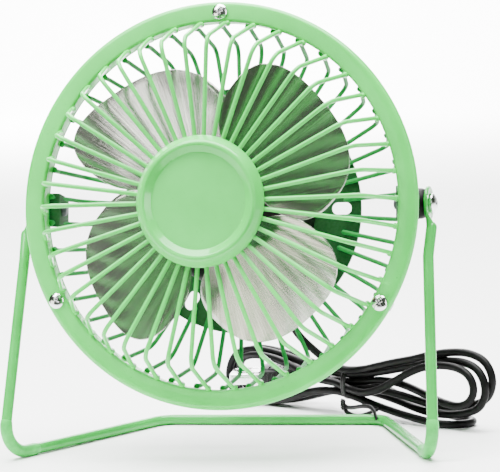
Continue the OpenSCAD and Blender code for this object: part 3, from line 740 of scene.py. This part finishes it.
def make_plug():
    """The moulding with its grip ribs and strain relief, and the shell with its windows."""
    body = [slab((-PLUG_L, -PLUG_HALF_W, -PLUG_HALF_H), (0, PLUG_HALF_W, PLUG_HALF_H), 1.7, 4),
            slab((-PLUG_L - 0.5, -6.7, -3.1), (-PLUG_L + 1, 6.7, 3.1), 0.4, 2)]
    for side in (-1, 1):
        y = side * 7.35
        z = side * 3.92
        for k in range(PLUG_RIBS):
            x = -4 - k * RIB_PITCH
            body.append(tube([Vector((x, y, -2.2)), Vector((x, y, 2.2))], 0.55, sides=10))
            body.append(tube([Vector((x, -3.4, z)), Vector((x, 3.4, z))], 0.45, sides=10))
    relief = [(0, -0.6), (3.2, -0.6), (3.2, 0.6)]
    for k in range(4):
        r = 2.9 - 0.22 * k
        z = 0.8 + 1.1 * k
        relief += [(r, z), (r, z + 0.55), (r - 0.75, z + 0.65), (r - 0.75, z + 1.0)]
    relief += [(1.9, 5.4), (0, 5.4)]
    turned_relief = lathe(softened(relief, 0.15, 2), 32)
    body.append(moved(turned_relief, turned(90, "Y")))
    moulding = piece("plug_moulding", joined(body), "plastic", "stand", PLUG, 40,
                     ("plug_body",))
    box = slab((-PLUG_L - SHELL_L, -SHELL_W / 2, -SHELL_H / 2),
               (-PLUG_L + 6, SHELL_W / 2, SHELL_H / 2), 0.55, 3)
    shell = piece("plug_tube", box, "chrome", "stand", PLUG, 35, ("plug_shell",))
    half_w = SHELL_W / 2 - SHELL_T
    half_h = SHELL_H / 2 - SHELL_T
    cut(shell, slab((-PLUG_L - SHELL_L - 1, -half_w, -half_h), (-PLUG_L + 5, half_w, half_h),
                    0.3, 2), PLUG)
    for y in (-3, 3):
        cut(shell, slab((-PLUG_L - 7.2, y - 1.2, -4), (-PLUG_L - 4.8, y + 1.2, 4), 0.2, 2), PLUG)
    seam_y = 2.7
    seam_z = SHELL_H / 2 + 0.02
    lines = joined([
        tube([Vector((-PLUG_L - 11.5, s * seam_y, t * seam_z)),
              Vector((-PLUG_L - 1, s * seam_y, t * seam_z))], [(0.06, 0.12)] * 2, sides=8)
        for s in (-1, 1) for t in (-1, 1)])
    seams = piece("plug_tube_seams", lines, "chrome", "stand", PLUG, 60, ())
    return [moulding, shell, seams, "plug_insert", "plug_contacts"]


def make_tie():
    """A flat wire tie wound twice round the hank, twisted, with two tails."""
    parts = []
    for turn, (x, tilt) in enumerate(((TIE_S - 0.8, 0.5), (TIE_S + 0.8, -0.4))):
        ring = []
        for k in range(72):
            a = 2 * math.pi * k / 72
            c = math.copysign(abs(math.cos(a)) ** 0.75, math.cos(a))
            s = math.copysign(abs(math.sin(a)) ** 0.75, math.sin(a))
            ring.append(Vector((x + tilt * math.cos(a + turn), TIE_Z + 5.6 * s, 5.4 * c)))
        ring.append(ring[0].copy())
        parts.append(tube(ring, [TIE_STRIP] * len(ring), sides=12, first=(0, 0, 1), ends="flat"))
    twist = []
    for side in (0, math.pi):
        line = []
        for k in range(40):
            t = k / 39
            a = side + t * 4.5 * math.pi
            line.append(Vector((TIE_S + 0.4 + 1.6 * t + 0.62 * math.cos(a), 6.6 - 3.2 * t,
                                6.0 + 1.2 * t + 0.62 * math.sin(a))))
        twist.append(tube(line, [(0.55, 0.34)] * len(line), sides=10))
    parts += twist
    parts = [moved(p, HANK) for p in parts]
    for tail in (((23.4, 61.4, 5.0), (25.6, 58.8, 4.2), (28.6, 55.4, 4.6), (31.4, 52.2, 5.4),
                  (34.4, 48.8, 6.2), (37.8, 45.2, 6.4), (39.8, 42.6, 5.4), (41.4, 39.6, 2.9)),
                 ((23.6, 61.6, 5.0), (24.8, 59.8, 2.6), (27.4, 58, 1.4), (31, 56, 1.3),
                  (35, 53.6, 2.8), (39.5, 50.5, 4.6))):
        line = smooth_line(tail, 0.8, 2)
        parts.append(tube(line, [TIE_STRIP] * len(line), sides=10, first=(0, 1, 0)))
    return piece("wire_tie", joined(parts), "plastic", "stand", WORLD, 60, ("cord_tie",))


# ---------- stand ----------

def side_path(s):
    """Corners of the rod at one side: top, jog, front foot and back run."""
    return [Vector(p) for p in ((s * ROD_TOP_X, PIVOT.y - ROD_TOP_REACH, PIVOT.z - ROD_TOP_DROP),
                                (s * JOG_X, PIVOT.y - JOG_REACH, PIVOT.z - JOG_DROP),
                                (s * FOOT_HALF_W, PIVOT.y - FOOT_REACH, FOOT_Z),
                                (s * BACK_HALF_W, PIVOT.y + BACK_REACH, ROD_R))]


def make_stand():
    """The rod in one run from eye to eye, and the sleeves on its front bends."""
    right = side_path(1)
    left = side_path(-1)
    line = rounded(right + left[::-1], (JOG_BEND, *[FOOT_BEND] * 4, JOG_BEND), 14)
    parts = [tube(line, ROD_R, sides=28, first=(1, 0, 0))]
    down = Vector((0, -ROD_TOP_REACH, -ROD_TOP_DROP)).normalized()
    eye = lathe(softened([(EYE_HOLE_R, 0), (EYE_R, 0), (EYE_R, EYE_T), (EYE_HOLE_R, EYE_T)],
                         0.5, 4), 72)
    for s in (-1, 1):
        hub = Vector((s * (EYE_IN_X + EYE_T / 2), PIVOT.y, PIVOT.z))
        parts.append(moved(eye, Matrix.Translation(hub) @ Matrix.Rotation(math.radians(90), 4, "Y")
                           @ Matrix.Translation((0, 0, -EYE_T / 2))))
        neck = []
        radii = []
        for k in range(15):
            t = k / 14
            swell = t * t * (3 - 2 * t)
            neck.append(hub + down * (3.6 + 7.4 * t) + Vector((s * 1.7 * swell, 0, 0)))
            radii.append((0.64 + 1.1 * swell, 4.9 - 3.1 * swell ** 0.7))
        parts.append(tube(neck, radii, sides=24, first=(1, 0, 0)))
    # The rod's enamel is a darker copy of the mint paint: painted shade.
    piece("bent_rod", joined(parts), "rod", "stand", WORLD, 40, ("stand_frame",))

    parts = []
    for s in (-1, 1):
        path = side_path(s)[1:]
        up = (path[0] - path[1]).normalized()
        back = (path[2] - path[1]).normalized()
        reach = FOOT_BEND * math.tan((math.pi - up.angle(back)) / 2)
        corner = path[1]
        line = spaced(rounded([corner + up * (reach + SLEEVE_UP), corner,
                               corner + back * (reach + SLEEVE_ALONG)], (FOOT_BEND,), 16), 0.5)
        radii = [SLEEVE_R] * len(line)
        for k, r in enumerate((ROD_R + 0.03, ROD_R + 0.14, ROD_R + 0.22, ROD_R + 0.27)):
            radii[k] = r
            radii[-1 - k] = r
        parts.append(tube(line, radii, sides=28, ends="flat"))
    # The sleeves' vinyl is darkened to match the rod's painted shade.
    piece("rubber_feet", joined(parts), "sleeve", "stand", WORLD, 50, ("foot_sleeves",))


# ---------- guard ----------

def make_ring():
    """The front ring: a rounded face with a short inner wall and a tapering outer wall."""
    arc = [(RING_R - RING_EDGE_R + RING_EDGE_R * math.cos(math.radians(a)),
            RING_FACE_Z - RING_EDGE_R + RING_EDGE_R * math.sin(math.radians(a)))
           for a in range(90, -1, -15)]
    inner_edge = [(RING_IN_R + 1.1 - 1.1 * math.cos(math.radians(a)),
                   RING_FACE_Z - 1.1 + 1.1 * math.sin(math.radians(a))) for a in range(0, 91, 18)]
    wall = [(RING_BACK_R + 0.15, RING_BACK_Z + 0.5), (RING_BACK_R - 0.25, RING_BACK_Z),
            (RING_BACK_R - RING_T, RING_BACK_Z), (RING_R - RING_T - 0.2, RING_FACE_Z - RING_EDGE_R),
            (RING_R - RING_T - 0.7, RING_FACE_Z - RING_T),
            (RING_IN_R + RING_T + 0.3, RING_FACE_Z - RING_T),
            (RING_IN_R + RING_T, RING_FACE_Z - 1.6), (RING_IN_R + RING_T, RING_BACK_Z)]
    profile = [(RING_IN_R, RING_BACK_Z)] + inner_edge + arc + wall
    piece("front_hoop", lathe(profile, 288), "mint", "head", HEAD, 40, ("front_ring",))


def wire_set(path, bends, phase, seed):
    """All the guard's wires, with the small unevenness of hand-set welding."""
    chance = random.Random(seed)
    plane = [(r, 0, z) for r, z in path]
    base = tube(rounded(plane, bends, 10), WIRE_R, sides=14, first=(0, 1, 0))
    parts = []
    for k in range(WIRE_COUNT):
        angle = phase + k * 360 / WIRE_COUNT + chance.uniform(-0.3, 0.3)
        parts.append(moved(base, turned(angle)))
    return parts


def weld_beads(z, phase, size):
    """A flattened bead where each wire meets the ring or the rim."""
    ball = lathe([(0, -size[1])] + [(size[0] * math.cos(t), size[1] * math.sin(t))
                                    for t in (-1.1, -0.5, 0, 0.5, 1.1)] + [(0, size[1])], 12,
                 closed=False)
    return [moved(ball, turned(phase + k * 360 / WIRE_COUNT) @ Matrix.Translation((WELD_R, 0, z)))
            for k in range(WIRE_COUNT)]


def make_wires():
    parts = wire_set(FRONT_PATH, (5, 1.5), FRONT_PHASE, 3)
    parts += weld_beads(3.0, FRONT_PHASE, (1.15, 1.3))
    piece("front_spokes", joined(parts), "mint", "head", HEAD, 50, ("front_wires",))
    # The rear wires and rear band carry the darker copy of the mint paint: painted shade.
    parts = wire_set(REAR_PATH, (5, 2), REAR_PHASE, 5)
    parts += weld_beads(-2.6, REAR_PHASE, (1.15, 1.0))
    piece("rear_spokes", joined(parts), "painted_shade_green", "head", HEAD, 50, ("rear_wires",))
    rim = softened([(RING_IN_R, RIM_BACK_Z), (RIM_OUT_R, RIM_BACK_Z), (RIM_OUT_R, RING_BACK_Z),
                    (RING_IN_R, RING_BACK_Z)], 0.35, 3)
    piece("rear_band", lathe(rim, 240), "painted_shade_green", "head", HEAD, 40, ("rear_rim",))


def make_cap():
    """The stamped cap: a flat disc inside a raised crest, with a rim turned back."""
    flat = [(r, CAP_DISC_Z) for r in (0, 2, 5, 8, 11, 14, 16, CAP_DISC_R)]
    under_z = CAP_DISC_Z - CAP_T
    rise = softened([(CAP_DISC_R, CAP_DISC_Z), (17.0, CAP_DISC_Z), (19.3, 29.3), (20.2, 29.4),
                     (21.0, 28.9), (22.6, 26.6), (CAP_R, 25.4), (CAP_R, CAP_Z),
                     (CAP_R - CAP_T, CAP_Z), (22.0, 26.2), (20.3, 28.2), (19.2, 28.0),
                     (17.8, 26.5), (16, under_z)], 0.35, 5, closed=False)
    profile = flat + rise[1:] + [(8, under_z), (0, under_z)]
    piece("cap_pressing", lathe(profile, 192, closed=False), "mint", "head", HEAD, 50,
          ("front_cap",))


def screw_head(r, h, shank_r, shank_to):
    """A pan head with its shank, its bearing face at z = 0 and its axis along Z."""
    dome = [(r * math.sin(t) / math.sin(1.0),
             h * (math.cos(t) - math.cos(1.0)) / (1 - math.cos(1.0)) * 0.55 + h * 0.45)
            for t in (0.12, 0.3, 0.5, 0.7, 0.86, 1.0)]
    profile = [(0, h)] + dome + [(r, h * 0.12), (r - 0.15, 0), (shank_r, 0), (shank_r, shank_to),
                                 (0, shank_to)]
    return lathe(profile, 48, closed=False)


def cross_recess(r, h):
    """The two tapering arms to cut out of a head of radius r and height h."""
    wide = 0.26 * r / 2
    long = 1.15 * r / 2
    arms = []
    for axis in (0, 1):
        top = [(-long, -wide), (long, -wide), (long, wide), (-long, wide)]
        if axis:
            top = [(-y, x) for x, y in top]
        points = [Vector((x, y, h * 1.3)) for x, y in top] + [Vector((x * 0.45, y * 0.8, h * 0.2))
                                                              for x, y in top]
        arms.append((points, [(0, 1, 2, 3), (7, 6, 5, 4), (0, 4, 5, 1), (1, 5, 6, 2), (2, 6, 7, 3),
                              (3, 7, 4, 0)]))
    return arms


def screws(name, places, r, h, shank_r, shank_to, replaced):
    """Plated cross-head screws of the head, one at each place."""
    parts = [moved(screw_head(r, h, shank_r, shank_to), m) for m in places]
    made = piece(name, joined(parts), "chrome", "head", WORLD, 40, replaced)
    for k, m in enumerate(places):
        for arm in cross_recess(r, h):
            cut(made, arm, m @ turned(17 + 23 * k))


def pivot_sides():
    """In the head's frame, the frames with Z outwards along the tilt axis, at both sides."""
    return [Matrix.Translation((0, 0, -PIVOT_BACK)) @ turned(s * 90, "Y") for s in (1, -1)]


def make_fasteners():
    """The ring's screws, and the tilt pivots' screws and friction washers."""
    hoop = [HEAD @ turned(a) @ Matrix.Translation((SCREW_R, 0, RING_FACE_Z)) for a in SCREW_ANGLES]
    screws("hoop_screws", hoop, 2.75, 1.7, 1.5, -10.4, ("guard_screws",))
    sides = pivot_sides()
    pivots = [HEAD @ side @ Matrix.Translation((0, 0, EYE_IN_X + EYE_T + 0.05)) for side in sides]
    screws("tilt_screws", pivots, 3.6, 2.4, 2, PIVOT_SCREW_END - EYE_IN_X - EYE_T,
           ("pivot_screws",))
    tip = lathe([(0, 61), (1.2, 61), (1.75, 61.25), (2.0, 61.8), (2.0, 62.8), (0, 62.8)], 32,
                closed=False)
    piece("thread_tips", joined([moved(tip, side) for side in sides]), "dark_steel", "head",
          HEAD, 40, ())
    bell = [(2, WASHER_IN_X), (5.4, WASHER_IN_X), (5.45, WASHER_IN_X + 1), (5.3, 71.5),
            (4.7, WASHER_OUT_X), (2, WASHER_OUT_X)]
    washer = lathe(softened(bell, 0.5, 4), 72)
    piece("tilt_washers", joined([moved(washer, side) for side in sides]), "rubber", "head",
          HEAD, 40, ("friction_washers",))


def make_brackets():
    """A bent channel at each side, its web towards the front, with rounded bends."""
    middle = [(69.05, -16.1), (69.05, -4.05), (62.95, -4.05), (62.95, -16.1)]
    line = rounded([(x, 0, z) for x, z in middle], (1.9, 2.6), 8)
    parts = []
    for s in (1, -1):
        rows = []
        count = len(line)
        for i, p in enumerate(line):
            before = line[max(i - 1, 0)]
            after = line[min(i + 1, count - 1)]
            along = (after - before).normalized()
            out = Vector((along.z, 0, -along.x))
            end = min(i, count - 1 - i)
            high = BRACKET_HALF_H - (1.2 if end == 0 else 0) - 0.15
            ring = []
            for x, y in ((-1, -1), (-1, 1), (1, 1), (1, -1)):
                ring.append(p + out * x * BRACKET_T / 2 + Vector((0, y * high, 0)))
            rows.append([Vector((s * q.x, q.y, q.z)) for q in ring])
        points = [q for row in rows for q in row]
        faces = [(0, 1, 2, 3), tuple(4 * (count - 1) + k for k in (3, 2, 1, 0))]
        for i in range(count - 1):
            for k in range(4):
                q = (k + 1) % 4
                faces.append((4 * i + k, 4 * i + q, 4 * i + 4 + q, 4 * i + 4 + k))
        parts.append((points, faces))
    # The brackets carry the much darker copy of the mint paint: painted shade.
    made = piece("tilt_brackets", joined(parts), "painted_deep_shade", "head", HEAD, 35, ("pivot_brackets",))
    for s in (1, -1):
        bore = tube([Vector((s * 61, 0, -PIVOT_BACK)), Vector((s * 71, 0, -PIVOT_BACK))], 2.1,
                    sides=32, ends="flat")
        cut(made, bore, HEAD)


# ---------- motor and blades ----------

def make_pod():
    """The motor's cup on the rear plate, with two raised beads on its front."""
    in_r = HOUSING_R - HOUSING_T
    in_z = HOUSING_Z - HOUSING_T
    shell = softened([(HOUSING_BORE_R, HOUSING_Z), (HOUSING_R - 1.2, HOUSING_Z),
                      (HOUSING_R, HOUSING_Z - 1.4), (HOUSING_R + 0.15, PLATE_Z), (in_r, PLATE_Z),
                      (in_r, in_z), (HOUSING_BORE_R, in_z)], 1.3, 5)
    parts = [lathe(shell, 160)]
    for r in (9.5, 20.5):
        low = HOUSING_Z - 0.3
        high = HOUSING_Z + 0.35
        bead = [(r, low), (r + 0.9, low), (r + 0.9, high), (r, high)]
        parts.append(lathe(softened(bead, 0.25, 3), 128))
    piece("motor_pod", joined(parts), "plastic", "head", HEAD, 40, ("motor_housing",))


def make_gland():
    """The ribbed, tapering strain relief in the rear plate."""
    profile = [(1.9, 1), (3.4, 1), (3.4, 0.2), (2.6, 0), (2.6, -1.2), (4, -1.2), (4, -3)]
    for k in range(6):
        z = -3.6 - 1.75 * k
        r = 3.0 - 0.17 * k
        profile += [(r - 0.4, z + 0.4), (r, z), (r, z - 0.9), (r - 0.45, z - 1.1)]
    profile += [(2, GLAND_END), (1.45, GLAND_END)]
    relief = lathe(softened([(r, z + PLATE_Z) for r, z in profile], 0.2, 2), 40)
    place = HEAD @ Matrix.Translation((GLAND_X, GLAND_Y, 0))
    piece("lead_grommet", relief, "rubber", "head", place, 45, ("cord_gland",))


def blade_height(r, y):
    """Height of the pitched and cambered sheet, r along the blade and y across it."""
    inner = 2 * BLADE_MID_R - TIP_R
    u = (r - inner) / (TIP_R - inner)
    slope = BLADE_ROOT_SLOPE + BLADE_TIP_SLOPE_MORE * u
    return y * slope - BLADE_CAMBER * (1 - (y / (BLADE_HALF_W + 4)) ** 2) * u


def one_blade():
    """A stamped blade with a rounded rim, from rings that shrink to its middle."""
    segments = 144
    rings = 14
    layers = [(k / rings, 1) for k in range(1, rings)] + [(1, 0.9), (1, 0.5), (1, 0), (1, -0.5),
                                                          (1, -0.9)]
    layers += [(k / rings, -1) for k in range(rings - 1, 0, -1)]
    points = []
    for share, lift in layers:
        edge = BLADE_T / 2 * math.sqrt(max(0.0, 1 - lift * lift)) if share == 1 else 0
        for k in range(segments):
            t = 2 * math.pi * k / segments
            c = math.copysign(abs(math.cos(t)) ** (2 / BLADE_POWER), math.cos(t))
            s = math.copysign(abs(math.sin(t)) ** (2 / BLADE_POWER), math.sin(t))
            flat = Vector((c * (TIP_R - BLADE_MID_R), s * BLADE_HALF_W))
            out = flat.normalized() * (edge - BLADE_T / 2)
            r = BLADE_MID_R + flat.x * share + out.x * (share == 1)
            y = flat.y * share + out.y * (share == 1) + BLADE_SKEW * (r - BLADE_MID_R)
            points.append(Vector((r, y, blade_height(r, y) + lift * BLADE_T / 2)))
    faces = []
    for i in range(len(layers) - 1):
        for k in range(segments):
            q = (k + 1) % segments
            faces.append((i * segments + k, i * segments + q, (i + 1) * segments + q,
                          (i + 1) * segments + k))
    last = (len(layers) - 1) * segments
    for start, side in ((0, 1), (last, -1)):
        centre = len(points)
        points.append(Vector((BLADE_MID_R, 0, blade_height(BLADE_MID_R, 0) + side * BLADE_T / 2)))
        faces += [(start + k, start + (k + 1) % segments, centre) for k in range(segments)]
    return points, faces


def make_blades():
    """The impeller: four blades and the disc that joins them."""
    blade = one_blade()
    parts = [moved(blade, turned(BLADE_PHASE + 360 / BLADE_COUNT * k)
                   @ Matrix.Translation((0, 0, BLADE_Z))) for k in range(BLADE_COUNT)]
    low = BLADE_Z - BLADE_T / 2
    high = BLADE_Z + BLADE_T / 2
    disc = [(SHAFT_HOLE_R, low), (BLADE_DISC_R, low), (BLADE_DISC_R, high), (SHAFT_HOLE_R, high)]
    parts.append(lathe(softened(disc, 0.3, 2), 144))
    piece("blade_pressing", joined(parts), "blade", "rotor", HEAD, 35, ("fan_blades",))


# CAD nodes that are shown as they are: material here, slot in the record
NODE_MATERIALS = {
    # cap_plate carries the darker copy of the mint paint: painted shade.
    "cap_plate": ("painted_shade_green", "mint_paint"),
    # rear_plate carries the much darker copy of the mint paint: painted shade.
    "rear_plate": ("painted_deep_shade", "mint_paint"),
    "guard_nuts": ("steel", "plated"),
    "pivot_nuts": ("dark_steel", "dark_steel"),
    "housing_screws": ("dark_steel", "dark_steel"),
    "motor_can": ("steel", "plated"),
    "motor_end_cap": ("white", "white_plastic"),
    "motor_magnets": ("dark_steel", "dark_steel"),
    "motor_brushes": ("copper", "copper"),
    "front_bushing": ("bronze", "bronze"),
    "rear_bushing": ("bronze", "bronze"),
    "motor_screws": ("dark_steel", "dark_steel"),
    "switch_body": ("plastic", "black_plastic"),
    "switch_rocker": ("plastic", "black_plastic"),
    "lead_wires": ("red_wire", "wire_pvc"),
    "blade_hub": ("bronze", "bronze"),
    "hub_rivets": ("chrome", "plated"),
    "motor_shaft": ("chrome", "plated"),
    "armature_core": ("dark_steel", "dark_steel"),
    "armature_coils": ("copper", "copper"),
    "commutator": ("copper", "copper"),
    "plug_insert": ("white", "white_plastic"),
    "plug_contacts": ("bronze", "plated"),
}


def paint_nodes():
    for name, (material, slot) in NODE_MATERIALS.items():
        shown = frame["nodes"][name]
        shown.data.materials.clear()
        shown.data.materials.append(MATS[material])


# ---------- room and light ----------

def make_room():
    """A sheet of paper, in metres: flat, then bent upward behind the fan."""
    bend_y = 2.4
    bend_r = 0.9
    half_w = 4
    depth = [(-0.14, 0.0), (bend_y, 0.0)]
    for k in range(1, 13):
        a = math.radians(90 * k / 12)
        depth.append((bend_y + bend_r * math.sin(a), bend_r - bend_r * math.cos(a)))
    depth.append((bend_y + bend_r, 4.5))
    points = []
    faces = []
    for y, z in depth:
        points += [(-half_w, y, z), (half_w, y, z)]
    for k in range(len(depth) - 1):
        faces.append((2 * k, 2 * k + 1, 2 * k + 3, 2 * k + 2))
    mesh = bpy.data.meshes.new("floor")
    mesh.from_pydata(points, [], faces)
    floor = bpy.data.objects.new("floor", mesh)
    bpy.context.scene.collection.objects.link(floor)
    mesh.materials.append(floor_paper())
    for polygon in mesh.polygons:
        polygon.use_smooth = True


def area_light(name, place, aim, size, power, colour=(1, 1, 1)):
    """A softbox at place, in metres, that faces aim. Power is in watts."""
    data = bpy.data.lights.new(name, "AREA")
    data.shape = "RECTANGLE"
    data.size, data.size_y = size
    data.energy = power
    data.color = colour
    lamp = bpy.data.objects.new(name, data)
    lamp.location = place
    lamp.rotation_euler = (Vector(aim) - Vector(place)).to_track_quat("-Z", "Y").to_euler()
    bpy.context.scene.collection.objects.link(lamp)


def make_light():
    world = bpy.data.worlds.new("studio")
    world.use_nodes = True
    world.node_tree.nodes["Background"].inputs["Color"].default_value = (0.62, 0.92, 0.56, 1)
    world.node_tree.nodes["Background"].inputs["Strength"].default_value = 0.07
    bpy.context.scene.world = world
    aim = (0, 0, 0.09)
    area_light("top", (0, -0.05, 1.1), (0, -0.05, 0), (1.1, 0.7), 68)
    area_light("key", (-0.28, -0.25, 0.52), aim, (0.25, 0.25), 4.2)
    area_light("face", (-0.32, -0.77, 0.40), (-0.03, 0, 0.1), (0.45, 0.45), 1.8)
    area_light("strip", (0.9, -0.6, 0.3), aim, (0.07, 0.8), 3.5)
    area_light("left", (-0.8, -0.75, -0.03), aim, (0.7, 0.5), 5.6, (1, 0.97, 0.86))
    area_light("spark", (0.07, -0.67, 0.74), aim, (0.09, 0.09), 0.3)
    area_light("backdrop", (-0.85, 1.9, 1.2), (-0.85, 3.1, 0.3), (1.1, 0.8), 300)
    area_light("floor", (-0.35, 1.2, 1.1), (-0.35, 1.2, 0), (0.9, 1.4), 60)


make_camera()
make_cord(make_plug() + [make_tie()])
make_stand()
make_ring()
make_wires()
make_cap()
make_fasteners()
make_brackets()
make_pod()
make_gland()
make_blades()
paint_nodes()
make_room()
make_light()
